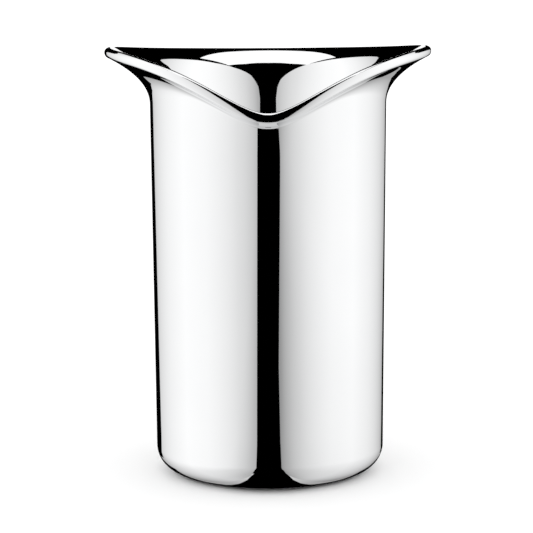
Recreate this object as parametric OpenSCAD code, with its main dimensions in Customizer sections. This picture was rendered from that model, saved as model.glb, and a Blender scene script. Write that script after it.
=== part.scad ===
// Double-walled bottle cooler in polished steel: a round body with a flared collar.
// The mouth is level at the back, rises a little into a lip on each side and dips in a V at the front.
// Millimetres. +Z is up, -Y is the front, and the origin is the middle of the foot pad's underside.

/* [Body] */
// Radius of the body just above the rounded base edge
body_r = 60; // [56:1:66]
// How much the body's radius grows for each millimetre of height
draft = 0.0075; // [0:0.0005:0.01]
// Radius of the rounded base edge
base_round = 13.2; // [11:0.1:14]
// Distance between the outer face of the outer skin and the inner face of the liner
wall = 5.2; // [4.8:0.1:6]
// Thickness of the sheet that both skins are drawn from
sheet = 0.9; // [0.7:0.1:1]
// Height of the liner's floor above the table
floor_h = 12; // [10:0.5:16]
// Radius of the curve between the liner's wall and floor
floor_round = 12; // [9:0.5:14]

/* [Mouth] */
// Height of the mouth's outer edge at the back
rim_h = 219; // [205:0.5:235]
// How much higher the edge runs from the lips to the V
lip_lift = 1.1; // [0:0.1:2]
// Depth of the V at the front
dip = 35; // [28:0.5:38]
// Angle round the mouth over which the V fades out, in degrees
dip_spread = 42; // [36:0.5:46]
// Angle over which the bottom of the V is rounded, in degrees
dip_round = 3; // [1:0.5:8]
// How straight the legs of the V are
dip_power = 1.52; // [1.4:0.02:1.7]
// How far the edge stands out from the body: front, sides and back
overhang = [5.2, 22.6, 10]; // [4:0.1:26]
// Slope of the collar above the horizontal where it ends: front, sides and back
lip_slope = [18, 26.5, 35]; // [10:0.5:40]
// Height over which the body starts to turn outwards: front, sides and back
lip_rise = [1.6, 13.4, 42]; // [1.2:0.1:45]
// How late the lips grow out of the front
front_power = 3; // [2:0.5:4]

/* [Rim band] */
// Depth of the band that closes the gap between the two skins
band = 2.2; // [2:0.1:2.6]
// How far the band's face bulges: front, sides and back
band_crown = [0.3, 1.6, 0.5]; // [0.1:0.1:1.8]
// Radius of the band's outer edge
edge_out = 0.8; // [0.5:0.1:1]
// Radius of the band's inner edge: front, sides and back
edge_in = [0.7, 1, 1]; // [0.5:0.1:1.2]

/* [Base] */
// Radius of the opening in the outer skin's underside
base_hole_r = 38; // [34:1:42]
// How far the base plate reaches past the opening, on the inside
base_lap = 5; // [4:0.5:8]
// Height of the dished middle of the base plate
base_dish = 2; // [1:0.5:4]
// How far the foot pad stands proud of the outer skin
foot_proud = 0.8; // [0.6:0.1:1.5]
// Radius of the foot pad's lower edge
foot_round = 0.6; // [0.3:0.1:0.6]

/* [Hidden] */
$fn = 96;
// Faces round each skin
around = 96;
// Rings up the collar, the straight wall and each rounded edge
collar_rings = 13;
wall_rings = 3;
curve_rings = 5;
// Rings round each edge of the rim band, and across its face
edge_rings = 3;
face_rings = 4;
// How late the lips grow out of the back, and how soon the lift fades out behind them
back_power = 2;
lift_power = 12;
// Step used to read a slope off the collar
eps = 0.001;
// Gap between the foot pad and the edge of the opening
foot_gap = 0.3;
steel = [0.86, 0.87, 0.88];

// A value that runs from front to side to back round the mouth; a = 0 is the front
function round_mouth(v, a) =
    cos(a) >= 0
        ? v[0] + (v[1] - v[0]) * pow(abs(sin(a)), front_power)
        : v[2] + (v[1] - v[2]) * pow(abs(sin(a)), back_power);

// Angle from the front, 0 to 180
function from_front(a) = a > 180 ? 360 - a : a;

// Height of the mouth's outer edge at angle a
function edge_h(a) =
    let(
        d = sqrt(pow(from_front(a), 2) + pow(dip_round, 2)) - dip_round,
        lift = lip_lift * (cos(a) >= 0 ? 1 : pow(sin(a), lift_power))
    )
    rim_h + lift - dip * exp(-pow(d / dip_spread, dip_power));

// Radius of the straight wall at height z
function wall_r(z) = body_r + (z - base_round - foot_proud) * draft;

// Height at which the collar's two tangents cross, and at which the collar starts
function corner_h(a) = edge_h(a) - round_mouth(overhang, a) * tan(round_mouth(lip_slope, a));
function collar_h(a) = corner_h(a) - round_mouth(lip_rise, a);

// Radius and height on the outer face of the collar, from u = 0 at the body to u = 1 at the edge
function collar_rz(a, u) =
    let(
        z1 = corner_h(a),
        p0 = [wall_r(collar_h(a)), collar_h(a)],
        p1 = [wall_r(z1), z1],
        p2 = [wall_r(z1) + round_mouth(overhang, a), edge_h(a)]
    )
    pow(1 - u, 2) * p0 + 2 * u * (1 - u) * p1 + u * u * p2;

// A point at angle a from its radius and height
function place(a, rz) = [rz[0] * sin(a), -rz[0] * cos(a), rz[1]];
function unit(v) = v / norm(v);

// Direction into the wall, square to the collar's outer face
function inward(a, u) =
    let(
        up = place(a, collar_rz(a, u)) - place(a, collar_rz(a, u - eps)),
        along = place(a + eps, collar_rz(a + eps, u)) - place(a - eps, collar_rz(a - eps, u))
    )
    unit(cross(up, along));

// A point d millimetres inside the collar's outer face
function collar(a, u, d) = place(a, collar_rz(a, u)) + d * inward(a, u);

// Where the skins stop and the rim band starts
function band_u(a) = 1 - band / (2 * norm(collar_rz(a, 1) - [wall_r(corner_h(a)), corner_h(a)]));

// The wall's ring number k, counted down from the collar to height low, d inside the outer face
function wall_point(a, k, low, d) =
    let(z = collar_h(a) + (low - collar_h(a)) * k / wall_rings)
    place(a, [wall_r(z) - d, z]);

// A quarter circle from a wall of radius r down to a floor at height z
function curve_point(a, k, r, z, bend) =
    let(t = 90 * k / curve_rings)
    place(a, [r - bend * (1 - cos(t)), z + bend * (1 - sin(t))]);

// Rings of a skin from the rim band down to the end of its floor, d inside the outer face
function skin(d, z, bend, end_r) = concat(
    [for (k = [0:collar_rings]) [for (a = angles) collar(a, band_u(a) * (1 - k / collar_rings), d)]],
    [for (k = [1:wall_rings]) [for (a = angles) wall_point(a, k, z + bend, d)]],
    [for (k = [1:curve_rings]) [for (a = angles) curve_point(a, k, wall_r(z + bend) - d, z, bend)]],
    [[for (a = angles) place(a, [end_r, z])]]
);
angles = [for (i = [0:around - 1]) 360 * i / around];

// Closed solid through a loop of rings
module ring_solid(rings) {
    n = len(rings);
    faces = [
        for (k = [0:n - 1], i = [0:around - 1])
            let(
                j = (i + 1) % around,
                m = (k + 1) % n
            )
            each [
                [k * around + i, k * around + j, m * around + j],
                [k * around + i, m * around + j, m * around + i]
            ]
    ];
    polyhedron(points = [for (ring = rings) each ring], faces = faces, convexity = 6);
}

function backwards(list) = [for (i = [len(list) - 1:-1:0]) list[i]];

module outer_shell() {
    color(steel)
    ring_solid(concat(
        skin(0, foot_proud, base_round, base_hole_r),
        backwards(skin(sheet, foot_proud + sheet, base_round - sheet, base_hole_r))
    ));
}

module inner_liner() {
    center_r = 2;
    color(steel)
    union() {
        ring_solid(concat(
            skin(wall - sheet, floor_h - sheet, floor_round + sheet, center_r),
            backwards(skin(wall, floor_h, floor_round, center_r))
        ));
        translate([0, 0, floor_h - sheet])
            cylinder(h = sheet, r = center_r + sheet, $fn = around);
    }
}

// A point on the crowned face of the band, from its outer corner (0) to its inner corner (1)
function band_face(a, share) =
    let(
        outer = collar(a, 1, 0),
        inner = collar(a, 1, wall),
        out = unit(outer - collar(a, band_u(a), 0)),
        crown = 4 * round_mouth(band_crown, a) * share * (1 - share)
    )
    outer + share * (inner - outer) + crown * out;

// Radius of one edge of the band: d = 0 is the outer edge and d = wall the inner one
function edge_r(a, d) = d == 0 ? edge_out : round_mouth(edge_in, a);

// Where the crowned face gives way to that edge
function face_end(a, d) = d == 0 ? edge_r(a, d) / wall : 1 - edge_r(a, d) / wall;

// A point round that edge, from the face (0) to the skin (1)
function band_edge(a, d, t) =
    let(
        corner = collar(a, 1, d),
        down = unit(collar(a, band_u(a), d) - corner)
    )
    pow(1 - t, 2) * band_face(a, face_end(a, d))
        + 2 * t * (1 - t) * corner
        + t * t * (corner + edge_r(a, d) * down);

// A point across the face, from the end of the inner edge (0) to the end of the outer one (1)
function across_face(a, s) = band_face(a, face_end(a, wall) + s * (face_end(a, 0) - face_end(a, wall)));

module rim_band() {
    turns = [for (k = [0:edge_rings]) k / edge_rings];
    color(steel)
    ring_solid(concat(
        [[for (a = angles) collar(a, band_u(a), 0)]],
        [[for (a = angles) collar(a, band_u(a), wall)]],
        [for (t = backwards(turns)) [for (a = angles) band_edge(a, wall, t)]],
        [for (k = [1:face_rings - 1]) [for (a = angles) across_face(a, k / face_rings)]],
        [for (t = turns) [for (a = angles) band_edge(a, 0, t)]]
    ));
}

module base_plate() {
    plate_z = foot_proud + sheet;
    flat_r = base_hole_r - 6;
    color(steel)
    rotate_extrude()
    polygon([
        [0, plate_z + base_dish],
        [flat_r - 2 * base_dish, plate_z + base_dish],
        [flat_r, plate_z],
        [base_hole_r + base_lap, plate_z],
        [base_hole_r + base_lap, plate_z + sheet],
        [flat_r, plate_z + sheet],
        [flat_r - 2 * base_dish, plate_z + base_dish + sheet],
        [0, plate_z + base_dish + sheet]
    ]);
}

module foot_pad() {
    pad_r = base_hole_r - foot_gap;
    pad_h = foot_proud + sheet;
    color([0.12, 0.12, 0.13])
    rotate_extrude()
    union() {
        square([pad_r - foot_round, pad_h]);
        translate([0, foot_round])
            square([pad_r, pad_h - foot_round]);
        translate([pad_r - foot_round, foot_round])
            circle(r = foot_round);
    }
}

outer_shell();
inner_liner();
rim_band();
base_plate();
foot_pad();
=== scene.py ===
import math

import bpy
import numpy as np
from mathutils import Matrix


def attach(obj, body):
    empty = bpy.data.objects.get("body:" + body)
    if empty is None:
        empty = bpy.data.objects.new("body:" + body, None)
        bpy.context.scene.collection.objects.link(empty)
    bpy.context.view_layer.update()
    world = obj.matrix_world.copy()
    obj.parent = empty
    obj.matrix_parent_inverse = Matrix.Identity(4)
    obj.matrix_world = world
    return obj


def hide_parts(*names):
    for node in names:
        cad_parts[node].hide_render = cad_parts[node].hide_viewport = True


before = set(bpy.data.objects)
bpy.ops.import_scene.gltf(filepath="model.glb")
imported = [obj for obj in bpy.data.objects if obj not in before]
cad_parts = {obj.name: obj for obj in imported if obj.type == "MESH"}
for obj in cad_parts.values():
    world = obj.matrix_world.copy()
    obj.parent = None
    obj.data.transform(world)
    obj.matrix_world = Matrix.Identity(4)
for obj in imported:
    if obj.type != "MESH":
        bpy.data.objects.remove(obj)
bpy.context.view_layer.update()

# ---------------------------------------------------------------- driving sizes, in metres
BODY_R = 0.060            # radius of the body just above the rounded base edge
DRAFT = 0.0075            # growth of the body's radius per metre of height
BASE_ROUND = 0.0132       # radius of the rounded base edge
WALL = 0.0052             # outer face of the outer skin to inner face of the liner
SHEET = 0.0009            # sheet thickness of both skins
FLOOR_H = 0.012           # height of the liner's floor
FLOOR_ROUND = 0.012       # curve between the liner's wall and floor

RIM_H = 0.2190            # height of the mouth's outer edge at the back
LIP_LIFT = 0.0011         # how much higher the edge runs from the lips to the V
LIFT_POWER = 12           # how soon that lift fades out behind the lips
DIP = 0.0350              # depth of the V at the front
DIP_SPREAD = 42.0         # angle over which the V fades out, in degrees
DIP_ROUND = 3.0           # angle over which the V's bottom is rounded, in degrees
DIP_POWER = 1.52          # how straight the V's legs are
OVERHANG = (0.0052, 0.0226, 0.010)    # front, sides, back
LIP_SLOPE = (18.0, 26.5, 35.0)        # degrees above the horizontal: front, sides, back
LIP_RISE = (0.0016, 0.0134, 0.042)    # front, sides, back
FRONT_POWER = 3.0         # how late the lips grow out of the front
BACK_POWER = 2.0          # and out of the back

BAND = 0.0022             # depth of the rim band along the skins
BAND_CROWN = (0.0003, 0.0016, 0.0005) # how far the band's face bulges: front, sides, back
EDGE_OUT = 0.0008         # radius of the band's outer edge
EDGE_IN = (0.0007, 0.0010, 0.0010)    # radius of its inner edge: front, sides, back

BASE_HOLE_R = 0.038       # opening in the outer skin's underside
BASE_LAP = 0.005          # how far the base plate reaches past the opening
BASE_DISH = 0.002         # height of the base plate's dished middle
BASE_FLAT = 0.006         # width of the plate's flat ring inside the opening
FOOT_PROUD = 0.0008       # how far the foot pad stands proud of the outer skin
FOOT_ROUND = 0.0006       # radius of the pad's lower edge
FOOT_GAP = 0.0003         # gap between the pad and the edge of the opening
RIB_DEPTH = 0.00025       # depth of the rings moulded into the pad's underside
RIB_STEP = 0.0022         # from one ring to the next
FIRST_RIB = 2             # the rings start and end this many steps from the middle
LAST_RIB = 16

# ---------------------------------------------------------------- how fine the meshes are
AROUND = 720              # faces round each piece
SEEN_RINGS = (48, 14, 28, 6)          # rings down the collar, the wall, the rounded edge, the floor
HIDDEN_RINGS = (20, 6, 12, 3)         # the same on the sides that face the gap between the skins
FACE_RINGS = 9            # from the middle of the band's face to one of its edges
EDGE_RINGS = 13           # round each of the band's edges
PLATE_RINGS = 60
PAD_RINGS = 120
PAD_EDGE_RINGS = 8
AXIS_R = 0.0004           # radius of the flat disc that closes a piece on its axis
EPS = 1e-4                # step used to read a slope off the collar

ANGLES = np.linspace(0.0, 2.0 * math.pi, AROUND, endpoint=False)


# ---------------------------------------------------------------- shape of the mouth
def round_mouth(values, a):
    """A value that runs from front to side to back; a = 0 is the front."""
    front, side, back = values
    s = np.abs(np.sin(a))
    return np.where(np.cos(a) >= 0, front + (side - front) * s ** FRONT_POWER,
                    back + (side - back) * s ** BACK_POWER)


def edge_height(a):
    from_front = np.abs((np.degrees(a) + 180.0) % 360.0 - 180.0)
    away = np.sqrt(from_front ** 2 + DIP_ROUND ** 2) - DIP_ROUND
    lift = LIP_LIFT * np.where(np.cos(a) >= 0, 1.0, np.sin(a) ** LIFT_POWER)
    return RIM_H + lift - DIP * np.exp(-(away / DIP_SPREAD) ** DIP_POWER)


def wall_radius(z):
    return BODY_R + (z - BASE_ROUND - FOOT_PROUD) * DRAFT


def corner_height(a):
    """Height at which the collar's two tangents cross."""
    slope = np.radians(round_mouth(LIP_SLOPE, a))
    return edge_height(a) - round_mouth(OVERHANG, a) * np.tan(slope)


def collar_height(a):
    """Height at which the body starts to turn outwards."""
    return corner_height(a) - round_mouth(LIP_RISE, a)


def place(a, r, z):
    a, r, z = np.broadcast_arrays(a, r, z)
    return np.stack([r * np.sin(a), -r * np.cos(a), z], axis=-1)


def collar_face(a, u):
    """Outer face of the collar, from u = 0 at the body to u = 1 at the edge."""
    low = collar_height(a)
    corner = corner_height(a)
    w0 = (1.0 - u) ** 2
    w1 = 2.0 * u * (1.0 - u)
    w2 = u * u
    r = w0 * wall_radius(low) + w1 * wall_radius(corner)
    r = r + w2 * (wall_radius(corner) + round_mouth(OVERHANG, a))
    z = w0 * low + w1 * corner + w2 * edge_height(a)
    return place(a, r, z)


def unit(v):
    return v / np.linalg.norm(v, axis=-1, keepdims=True)


def inward(a, u):
    """Direction into the wall, square to the collar's outer face."""
    up = collar_face(a, u) - collar_face(a, u - EPS)
    along = collar_face(a + EPS, u) - collar_face(a - EPS, u)
    return unit(np.cross(up, along))


def collar(a, u, depth):
    return collar_face(a, u) + depth * inward(a, u)


# ---------------------------------------------------------------- shape of the rim band
def band_start(a):
    """Where the skins stop and the rim band starts."""
    corner = place(a, wall_radius(corner_height(a)), corner_height(a))
    return 1.0 - BAND / (2.0 * np.linalg.norm(collar_face(a, 1.0) - corner, axis=-1))


def band_face(a, share):
    """The crowned face of the band, from its outer corner (0) to its inner corner (1)."""
    outer = collar(a, 1.0, 0.0)
    inner = collar(a, 1.0, WALL)
    out = unit(outer - collar(a, band_start(a), 0.0))
    crown = round_mouth(BAND_CROWN, a)[:, None]
    return outer + (inner - outer) * share + out * (4.0 * crown * share * (1.0 - share))


def edge_radius(a, depth):
    """Radius of one edge of the band: the outer edge is at depth 0 and the inner one at WALL."""
    return round_mouth(EDGE_IN, a)[:, None] if depth else np.full((len(a), 1), EDGE_OUT)


def face_end(a, depth):
    """Where the crowned face gives way to that edge."""
    share = edge_radius(a, depth) / WALL
    return 1.0 - share if depth else share


def band_edge(a, depth, steps):
    """Rings round that edge, from the face (0) to the skin (1)."""
    corner = collar(a, 1.0, depth)
    down = unit(collar(a, band_start(a), depth) - corner)
    on_face = band_face(a, face_end(a, depth))
    on_skin = corner + edge_radius(a, depth) * down
    return np.stack([
        (1.0 - t) ** 2 * on_face + 2.0 * t * (1.0 - t) * corner + t * t * on_skin for t in steps
    ])


# ---------------------------------------------------------------- rings of points
def collar_rings(depth, count):
    share = np.linspace(1.0, 0.0, count)[:, None]
    return collar(ANGLES, share * band_start(ANGLES), depth)


def wall_rings(depth, low, count):
    share = np.linspace(0.0, 1.0, count)[1:, None]
    top = collar_height(ANGLES)
    z = top + (low - top) * share
    return place(ANGLES, wall_radius(z) - depth, z)


def curve_rings(wall_r, floor_z, bend, count):
    t = np.linspace(0.0, math.pi / 2, count)[1:, None]
    return place(ANGLES, wall_r - bend * (1 - np.cos(t)), floor_z + bend * (1 - np.sin(t)))


def floor_rings(start_r, end_r, z, count):
    r = np.linspace(start_r, end_r, count)[1:, None]
    return place(ANGLES, r, np.full_like(r, z))


def skin_rings(depth, floor_z, bend, end_r, counts=SEEN_RINGS):
    """One side of a skin, from the rim band down to the end of its floor."""
    wall_r = wall_radius(floor_z + bend) - depth
    return np.concatenate([
        collar_rings(depth, counts[0]),
        wall_rings(depth, floor_z + bend, counts[1]),
        curve_rings(wall_r, floor_z, bend, counts[2]),
        floor_rings(wall_r - bend, end_r, floor_z, counts[3]),
    ])


def outer_face():
    return skin_rings(0.0, FOOT_PROUD, BASE_ROUND, BASE_HOLE_R)


def liner_face():
    return skin_rings(WALL, FLOOR_H, FLOOR_ROUND, AXIS_R)


def band_rings(depth):
    """From the middle of the band's face over one edge and down to the skin."""
    half_face = face_end(ANGLES, depth) - 0.5
    steps = np.linspace(0.0, 1.0, FACE_RINGS)[:-1]
    face = np.stack([band_face(ANGLES, 0.5 + half_face * step) for step in steps])
    edge = band_edge(ANGLES, depth, np.linspace(0.0, 1.0, EDGE_RINGS))
    seam = collar(ANGLES, band_start(ANGLES), depth)
    return np.concatenate([face, edge, seam[None]])


def ring_normals(rings, sign):
    """Normals of a grid of rings, exact to second order where the spacing changes."""
    around = np.roll(rings, -1, axis=1) - np.roll(rings, 1, axis=1)
    step = rings[1:] - rings[:-1]
    size = np.linalg.norm(step, axis=-1, keepdims=True)
    across = np.empty_like(rings)
    across[0] = step[0]
    across[-1] = step[-1]
    across[1:-1] = step[1:] / size[1:] * size[:-1] + step[:-1] / size[:-1] * size[1:]
    return unit(sign * np.cross(around, across))


def skin_normals(skin, depth, sign):
    """Normals of a skin, read off the skin and the band together, so that their seam doesn't show."""
    over_edge = band_rings(depth)
    whole = np.concatenate([over_edge, skin[1:]])
    return ring_normals(whole, sign)[len(over_edge) - 1:]


# ---------------------------------------------------------------- meshes
def add_object(name, data):
    obj = bpy.data.objects.new(name, data)
    bpy.context.scene.collection.objects.link(obj)
    return obj


def solid_of_rings(name, patches, closed=True):
    """A solid from patches of rings and their normals. Each patch starts on the ring where the last
    one ended, and keeps its own normals, so that the edges between patches stay crisp. Normals given
    as None are read off the patch. A solid that isn't closed has a flat disc over each end."""
    points = np.concatenate([patches[0][0][:1]] + [rings[1:] for rings, normals in patches])
    if closed:
        points = points[:-1]
    i = np.arange(AROUND)
    j = (i + 1) % AROUND
    faces = []
    corner_normals = []
    ring = 0
    for rings, normals in patches:
        if normals is None:
            normals = ring_normals(rings, -1)
        for here, there in zip(normals[:-1], normals[1:]):
            low = ring * AROUND
            ring += 1
            high = ring % len(points) * AROUND
            faces += np.stack([high + i, high + j, low + j, low + i], axis=1).tolist()
            corner_normals.append(np.stack([there, there[j], here[j], here], axis=1).reshape(-1, 3))
    if not closed:
        faces.append(i.tolist())
        corner_normals.append(np.tile((0.0, 0.0, 1.0), (AROUND, 1)))
        faces.append((ring * AROUND + i[::-1]).tolist())
        corner_normals.append(np.tile((0.0, 0.0, -1.0), (AROUND, 1)))
    mesh = bpy.data.meshes.new(name)
    mesh.from_pydata(points.reshape(-1, 3).tolist(), [], faces)
    mesh.polygons.foreach_set("use_smooth", [True] * len(mesh.polygons))
    mesh.normals_split_custom_set(np.concatenate(corner_normals).tolist())
    mesh.update()
    return add_object(name, mesh)


def lathe(name, stretches):
    """A turned solid from stretches of (radius, height) points, from the middle of its top to the
    middle of its underside."""
    patches = []
    for stretch in stretches:
        points = np.array(stretch)
        patches.append((place(ANGLES, points[:, :1], points[:, 1:]), None))
    return solid_of_rings(name, patches, closed=False)


def outer_shell():
    outer = outer_face()
    inner = skin_rings(SHEET, FOOT_PROUD + SHEET, BASE_ROUND - SHEET, BASE_HOLE_R, HIDDEN_RINGS)[::-1]
    return solid_of_rings("outer_shell_skin", [
        (outer, skin_normals(outer, 0.0, -1)),
        (np.stack([outer[-1], inner[0]]), None),
        (inner, None),
        (np.stack([inner[-1], outer[0]]), None),
    ])


def inner_liner():
    seen = liner_face()
    hidden = skin_rings(WALL - SHEET, FLOOR_H - SHEET, FLOOR_ROUND + SHEET, AXIS_R, HIDDEN_RINGS)
    return solid_of_rings("inner_liner_skin", [
        (seen[::-1], skin_normals(seen, WALL, 1)[::-1]),
        (np.stack([seen[0], hidden[0]]), None),
        (hidden, None),
    ], closed=False)


def rim_band():
    over_face = np.concatenate([band_rings(WALL)[::-1], band_rings(0.0)[1:]])
    whole = np.concatenate([liner_face()[2:0:-1], over_face, outer_face()[1:3]])
    return solid_of_rings("rim_band_strip", [
        (over_face, ring_normals(whole, -1)[2:-2]),
        (np.stack([over_face[-1], over_face[0]]), None),
    ])


def base_plate():
    low = FOOT_PROUD + SHEET
    flat_r = BASE_HOLE_R - BASE_FLAT
    r = np.linspace(AXIS_R, BASE_HOLE_R + BASE_LAP, PLATE_RINGS)
    t = np.clip((flat_r - r) / (2.0 * BASE_DISH), 0.0, 1.0)
    lift = BASE_DISH * t * t * (3.0 - 2.0 * t)
    top = np.stack([r, low + SHEET + lift], axis=1)
    under = np.stack([r, low + lift], axis=1)[::-1]
    return lathe("base_plate_dish", [top, [top[-1], under[0]], under])


def foot_pad():
    pad_r = BASE_HOLE_R - FOOT_GAP
    pad_h = FOOT_PROUD + SHEET
    t = np.linspace(0.0, math.pi / 2, PAD_EDGE_RINGS)
    edge = np.stack([pad_r - FOOT_ROUND * (1.0 - np.cos(t)), FOOT_ROUND * (1.0 - np.sin(t))], axis=1)
    r = np.linspace(pad_r - FOOT_ROUND, AXIS_R, PAD_RINGS)
    ribbed = (r > FIRST_RIB * RIB_STEP) & (r < LAST_RIB * RIB_STEP)
    groove = 0.5 * RIB_DEPTH * (1.0 - np.cos(2.0 * math.pi * r / RIB_STEP))
    under = np.stack([r, np.where(ribbed, groove, 0.0)], axis=1)
    return lathe("foot_pad_disc", [
        [(AXIS_R, pad_h), (pad_r, pad_h)],
        [(pad_r, pad_h), (pad_r, FOOT_ROUND)],
        edge,
        under,
    ])


# ---------------------------------------------------------------- materials
def new_material(name):
    mat = bpy.data.materials.new(name)
    mat.use_nodes = True
    tree = mat.node_tree
    return mat, tree, tree.nodes["Principled BSDF"]


def add_noise(tree, scale, detail, stretch=(1, 1, 1)):
    coord = tree.nodes.new("ShaderNodeTexCoord")
    mapping = tree.nodes.new("ShaderNodeMapping")
    mapping.inputs["Scale"].default_value = stretch
    noise = tree.nodes.new("ShaderNodeTexNoise")
    noise.inputs["Scale"].default_value = scale
    noise.inputs["Detail"].default_value = detail
    tree.links.new(coord.outputs["Object"], mapping.inputs["Vector"])
    tree.links.new(mapping.outputs["Vector"], noise.inputs["Vector"])
    return noise


def add_range(tree, source, low, high):
    """A value that drifts between low and high."""
    spread = tree.nodes.new("ShaderNodeMapRange")
    spread.inputs["From Min"].default_value = 0.3
    spread.inputs["From Max"].default_value = 0.7
    spread.inputs["To Min"].default_value = low
    spread.inputs["To Max"].default_value = high
    tree.links.new(source.outputs["Fac"], spread.inputs["Value"])
    return spread.outputs["Result"]


def add_tint(tree, source, dark, light, socket):
    """A colour that drifts between dark and light."""
    ramp = tree.nodes.new("ShaderNodeValToRGB")
    ramp.color_ramp.elements[0].position = 0.3
    ramp.color_ramp.elements[1].position = 0.7
    ramp.color_ramp.elements[0].color = (*dark, 1)
    ramp.color_ramp.elements[1].color = (*light, 1)
    tree.links.new(source.outputs["Fac"], ramp.inputs["Fac"])
    tree.links.new(ramp.outputs["Color"], socket)


def add_bump(tree, source, bsdf, distance):
    bump = tree.nodes.new("ShaderNodeBump")
    bump.inputs["Distance"].default_value = distance
    tree.links.new(source.outputs["Fac"], bump.inputs["Height"])
    tree.links.new(bump.outputs["Normal"], bsdf.inputs["Normal"])


def polished_steel(name, polish_stretch):
    """Mirror steel, with a hint of polishing lines and of wiped patches in its gloss."""
    mat, tree, bsdf = new_material(name)
    bsdf.inputs["Metallic"].default_value = 1.0
    lines = add_noise(tree, 40.0, 2.0, polish_stretch)
    patches = add_noise(tree, 25.0, 4.0)
    add_tint(tree, patches, (0.922, 0.927, 0.933), (0.938, 0.943, 0.947), bsdf.inputs["Base Color"])
    gloss = tree.nodes.new("ShaderNodeMath")
    gloss.operation = "ADD"
    tree.links.new(add_range(tree, lines, 0.004, 0.014), gloss.inputs[0])
    tree.links.new(add_range(tree, patches, 0.006, 0.014), gloss.inputs[1])
    tree.links.new(gloss.outputs["Value"], bsdf.inputs["Roughness"])
    return mat


def satin_steel(name):
    mat, tree, bsdf = new_material(name)
    bsdf.inputs["Metallic"].default_value = 1.0
    grain = add_noise(tree, 900.0, 3.0, (1, 0.05, 1))
    add_tint(tree, grain, (0.56, 0.565, 0.57), (0.64, 0.645, 0.65), bsdf.inputs["Base Color"])
    tree.links.new(add_range(tree, grain, 0.26, 0.40), bsdf.inputs["Roughness"])
    add_bump(tree, grain, bsdf, 0.00001)
    return mat


def moulded_rubber(name):
    mat, tree, bsdf = new_material(name)
    grain = add_noise(tree, 1600.0, 4.0)
    add_tint(tree, grain, (0.022, 0.022, 0.023), (0.040, 0.040, 0.042), bsdf.inputs["Base Color"])
    tree.links.new(add_range(tree, grain, 0.62, 0.80), bsdf.inputs["Roughness"])
    bsdf.inputs["Specular IOR Level"].default_value = 0.4
    add_bump(tree, grain, bsdf, 0.00003)
    return mat


# ---------------------------------------------------------------- pieces
def add_piece(piece, node, mat):
    piece.data.materials.append(mat)
    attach(piece, "root")
    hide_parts(node)


UP_AND_DOWN = (6.0, 6.0, 0.25)        # polishing lines that run up the body
ROUND_AND_ROUND = (0.5, 0.5, 8.0)     # and lines that run round the mouth
add_piece(outer_shell(), "outer_shell", polished_steel("outer_mirror_steel", UP_AND_DOWN))
add_piece(inner_liner(), "inner_liner", polished_steel("inner_mirror_steel", UP_AND_DOWN))
add_piece(rim_band(), "rim_band", polished_steel("rim_mirror_steel", ROUND_AND_ROUND))
add_piece(base_plate(), "base_plate", satin_steel("satin_steel"))
add_piece(foot_pad(), "foot_pad", moulded_rubber("moulded_rubber"))


# ---------------------------------------------------------------- studio
# Panels and cards that only reflections see, and a pale floor that reflections don't see.
REACH = 3.0               # distance from the object to each side panel
PANEL_STRENGTH = 1.08

# brightness of the side panels by distance behind the object, and by height over the mouth,
# both in units of REACH
LEFT_RAMP = (
    (-5.2, 0.52), (-2.9, 0.65), (-1.73, 0.75), (-1.0, 0.87), (-0.5, 0.96), (0.0, 1.0),
    (0.47, 0.90), (0.87, 0.79), (1.38, 0.66), (2.15, 0.50),
)
RIGHT_RAMP = (
    (-5.2, 0.42), (-2.9, 0.60), (-1.73, 0.74), (-1.0, 0.87), (-0.5, 0.96), (0.0, 1.0),
    (0.47, 0.90), (0.87, 0.79), (1.38, 0.66), (2.15, 0.50),
)
LEFT_FADE = ((-3.0, 0.56), (-2.0, 0.64), (-0.9, 0.81), (-0.5, 0.97), (0.0, 0.99), (0.3, 1.0))
RIGHT_FADE = ((-3.0, 0.47), (-2.0, 0.61), (-1.0, 0.73), (-0.5, 0.85), (-0.2, 0.97), (0.3, 1.0))

# outlines of the side panels as (distance behind the object, height over the mouth), in the same units
LEFT_OUTLINE = (
    (-2.2, -3.0), (3.9, -3.0), (2.85, -2.18), (1.6, -1.25), (2.26, -1.1), (2.65, -1.0), (1.6, -0.78),
    (1.35, -0.45), (1.68, -0.1), (1.68, 0.35), (0.85, 0.62), (0.95, 0.9), (1.07, 1.03), (1.27, 1.18),
    (1.51, 1.32), (1.85, 1.64), (1.78, 1.71), (1.4, 1.73), (-0.6, 1.69), (-1.3, 1.75), (-2.4, 1.88),
    (-4.5, 2.2), (-5.8, 2.1), (-6.6, 1.5), (-6.3, 0.8), (-5.6, 0.2), (-5.4, -0.4), (-4.4, -1.19),
    (-3.6, -1.6),
)
RIGHT_OUTLINE = (
    (-2.7, -3.0), (3.2, -3.0), (2.0, -1.6), (2.45, -1.16), (4.9, -1.15), (3.33, -1.05), (2.35, -0.86),
    (2.1, -0.62), (2.3, -0.4), (2.66, -0.1), (2.66, 0.3), (0.7, 0.62), (0.72, 0.9), (0.98, 1.15),
    (1.28, 1.33), (1.55, 1.52), (1.5, 1.58), (1.1, 1.61), (0.0, 1.63), (-0.6, 1.60), (-1.5, 1.68),
    (-3.3, 2.05), (-5.8, 2.1), (-6.6, 1.5), (-6.3, 0.8), (-4.9, 0.2), (-5.1, -0.4), (-6.3, -1.3),
    (-5.4, -1.45), (-4.0, -2.0),
)

CEILING_H = 9.0
CEILING_STRENGTH = 1.1
CEILING_OUTLINE = (       # (x, y) in units of CEILING_H
    (-0.52, 0.03), (0.52, 0.03), (0.57, -0.68), (0.33, -0.82), (0.0, -0.87), (-0.33, -0.82),
    (-0.57, -0.68),
)

LOWER_H = -9.0            # the lower panel lights what looks down
LOWER_HALF = 19.0
LOWER_FRONT = -10.5
LOWER_BACK = 12.0
LOWER_FADE = ((-6.0, 0.68), (5.0, 0.40))        # (distance behind the object, strength)

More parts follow.
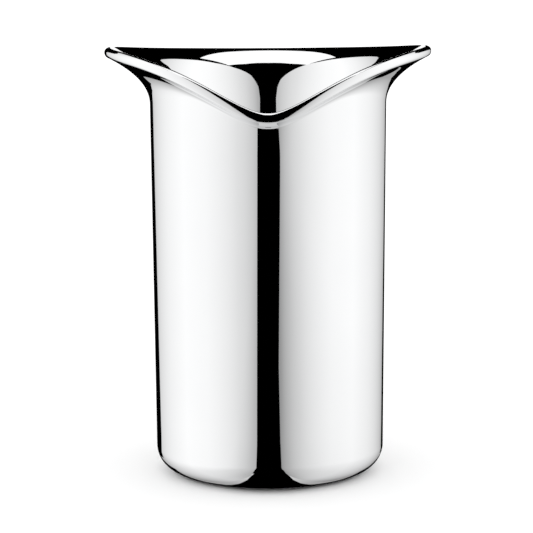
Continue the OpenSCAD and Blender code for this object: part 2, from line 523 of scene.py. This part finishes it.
CARD = (                  # right half of the dark card before the foot, as (x, y)
    (0.0119, -0.0740), (0.0123, -0.0690), (0.0134, -0.0585), (0.0163, -0.0527), (0.0205, -0.0480),
    (0.0260, -0.0440),
)
CONTACT_R = 0.0517        # the dark disc under the object: painted contact shadow that only reflections see
CONTACT_H = 0.0001
CONTACT_SIDES = 72

BACKDROP_Y = 6.0
BACKDROP_HALF = 0.6
BACKDROP_HEIGHTS = (-0.5, 1.5)
BACKDROP_STRENGTH = 1.08
ROOM_HALF = 24.0
FLOOR_HALF = 20.0
WORLD_STRENGTH = 1.3


def emission(name, strength):
    mat = bpy.data.materials.new(name)
    mat.use_nodes = True
    tree = mat.node_tree
    tree.nodes.remove(tree.nodes["Principled BSDF"])
    glow = tree.nodes.new("ShaderNodeEmission")
    glow.inputs["Strength"].default_value = strength
    tree.links.new(glow.outputs["Emission"], tree.nodes["Material Output"].inputs["Surface"])
    return mat, tree, glow


def split_place(tree):
    """The place of the point being lit, as X, Y and Z."""
    coord = tree.nodes.new("ShaderNodeTexCoord")
    split = tree.nodes.new("ShaderNodeSeparateXYZ")
    tree.links.new(coord.outputs["Object"], split.inputs["Vector"])
    return split.outputs


def stage_mesh(name, points, faces, mat):
    mesh = bpy.data.meshes.new(name)
    mesh.from_pydata(points, [], faces)
    mesh.materials.append(mat)
    obj = add_object(name, mesh)
    return obj


def stage_sheet(name, corners, mat):
    return stage_mesh(name, corners, [range(len(corners))], mat)


def level(outline, height, scale=1.0):
    return [(x * scale, y * scale, height) for x, y in outline]


def rectangle(half, low, high):
    return [(-half, low), (half, low), (half, high), (-half, high)]


def only_reflections(obj):
    obj.visible_camera = False
    obj.visible_diffuse = False
    obj.visible_transmission = False
    obj.visible_volume_scatter = False
    obj.visible_shadow = False


def ramp_along(tree, distance, points):
    """Grey that follows (distance, value) points, with distances in units of REACH."""
    low = points[0][0]
    high = points[-1][0]
    spread = tree.nodes.new("ShaderNodeMapRange")
    spread.inputs["From Min"].default_value = low * REACH
    spread.inputs["From Max"].default_value = high * REACH
    ramp = tree.nodes.new("ShaderNodeValToRGB")
    elements = ramp.color_ramp.elements
    while len(elements) < len(points):
        elements.new(0.5)
    for element, (along, value) in zip(elements, points):
        element.position = (along - low) / (high - low)
        element.color = (value, value, value, 1)
    tree.links.new(distance, spread.inputs["Value"])
    tree.links.new(spread.outputs["Result"], ramp.inputs["Fac"])
    return ramp.outputs["Color"]


def side_panel(name, side, ramp, fade, outline):
    mat, tree, glow = emission(name + "_light", PANEL_STRENGTH)
    lit_place = split_place(tree)
    height = tree.nodes.new("ShaderNodeMath")
    height.operation = "SUBTRACT"
    height.inputs[1].default_value = RIM_H
    both = tree.nodes.new("ShaderNodeVectorMath")
    both.operation = "MULTIPLY"
    tree.links.new(lit_place["Z"], height.inputs[0])
    tree.links.new(ramp_along(tree, lit_place["Y"], ramp), both.inputs[0])
    tree.links.new(ramp_along(tree, height.outputs["Value"], fade), both.inputs[1])
    tree.links.new(both.outputs["Vector"], glow.inputs["Color"])
    corners = [(side * REACH, y * REACH, RIM_H + z * REACH) for y, z in outline]
    only_reflections(stage_sheet(name, corners, mat))


def ceiling_panel():
    mat = emission("ceiling_light", CEILING_STRENGTH)[0]
    only_reflections(stage_sheet("ceiling_panel", level(CEILING_OUTLINE, CEILING_H, CEILING_H), mat))


def lower_panel():
    mat, tree, glow = emission("lower_light", 1.0)
    fade = tree.nodes.new("ShaderNodeMapRange")
    for end, (behind, strength) in zip(("Min", "Max"), LOWER_FADE):
        fade.inputs["From " + end].default_value = behind
        fade.inputs["To " + end].default_value = strength
    tree.links.new(split_place(tree)["Y"], fade.inputs["Value"])
    tree.links.new(fade.outputs["Result"], glow.inputs["Strength"])
    outline = rectangle(LOWER_HALF, LOWER_FRONT, LOWER_BACK)
    only_reflections(stage_sheet("lower_panel", level(outline, LOWER_H), mat))


def dark_surroundings():
    """The dark card by the foot, the dark disc under the object as painted contact shadow, and the
    dark room round everything.
    """
    black = emission("dark_surround", 0.0)[0]
    left_half = [(-x, y) for x, y in reversed(CARD)]
    only_reflections(stage_sheet("dark_card", level([*CARD, *left_half], 0.0), black))
    # painted contact shadow: a black disc under the object, seen only in reflections
    turns = [2.0 * math.pi * k / CONTACT_SIDES for k in range(CONTACT_SIDES)]
    disc = [(CONTACT_R * math.sin(t), -CONTACT_R * math.cos(t)) for t in turns]
    only_reflections(stage_sheet("contact_shade", level(disc, CONTACT_H), black))
    ends = (-ROOM_HALF, ROOM_HALF)
    corners = [(x, y, z) for x in ends for y in ends for z in ends]
    walls = [(0, 1, 3, 2), (4, 5, 7, 6), (0, 1, 5, 4), (2, 3, 7, 6), (0, 2, 6, 4), (1, 3, 7, 5)]
    only_reflections(stage_mesh("dark_room", corners, walls, black))


def backdrop():
    mat = emission("backdrop_light", BACKDROP_STRENGTH)[0]
    corners = [(x, BACKDROP_Y, z) for x, z in rectangle(BACKDROP_HALF, *BACKDROP_HEIGHTS)]
    only_reflections(stage_sheet("backdrop", corners, mat))


def pale_floor():
    mat, tree, bsdf = new_material("pale_floor")
    bsdf.inputs["Base Color"].default_value = (0.92, 0.92, 0.92, 1)
    bsdf.inputs["Roughness"].default_value = 0.9
    bsdf.inputs["Specular IOR Level"].default_value = 0.0
    # clear from below, so that the underside can be seen
    clear = tree.nodes.new("ShaderNodeBsdfTransparent")
    facing = tree.nodes.new("ShaderNodeNewGeometry")
    one_sided = tree.nodes.new("ShaderNodeMixShader")
    tree.links.new(facing.outputs["Backfacing"], one_sided.inputs["Fac"])
    tree.links.new(bsdf.outputs["BSDF"], one_sided.inputs[1])
    tree.links.new(clear.outputs["BSDF"], one_sided.inputs[2])
    tree.links.new(one_sided.outputs["Shader"], tree.nodes["Material Output"].inputs["Surface"])
    floor = stage_sheet("floor", level(rectangle(FLOOR_HALF, -FLOOR_HALF, FLOOR_HALF), 0.0), mat)
    floor.visible_glossy = False


def white_world():
    world = bpy.data.worlds.new("studio")
    world.use_nodes = True
    background = world.node_tree.nodes["Background"]
    background.inputs["Color"].default_value = (1, 1, 1, 1)
    background.inputs["Strength"].default_value = WORLD_STRENGTH
    bpy.context.scene.world = world


side_panel("panel_left", -1, LEFT_RAMP, LEFT_FADE, LEFT_OUTLINE)
side_panel("panel_right", 1, RIGHT_RAMP, RIGHT_FADE, RIGHT_OUTLINE)
ceiling_panel()
lower_panel()
dark_surroundings()
backdrop()
pale_floor()
white_world()
bpy.context.scene.view_settings.view_transform = "Standard"

# ---------------------------------------------------------------- camera
LENS = 110.7
CAMERA_PLACE = (0.0, -0.8571, 0.2093)
CAMERA_TURN = (90.0 - 6.75, 0.33, 0.048)        # degrees

camera_data = bpy.data.cameras.new("camera")
camera_data.sensor_width = 36.0
camera_data.lens = LENS
camera_data.clip_end = 100.0
camera = add_object("camera", camera_data)
camera.location = CAMERA_PLACE
camera.rotation_euler = [math.radians(angle) for angle in CAMERA_TURN]
bpy.context.scene.camera = camera
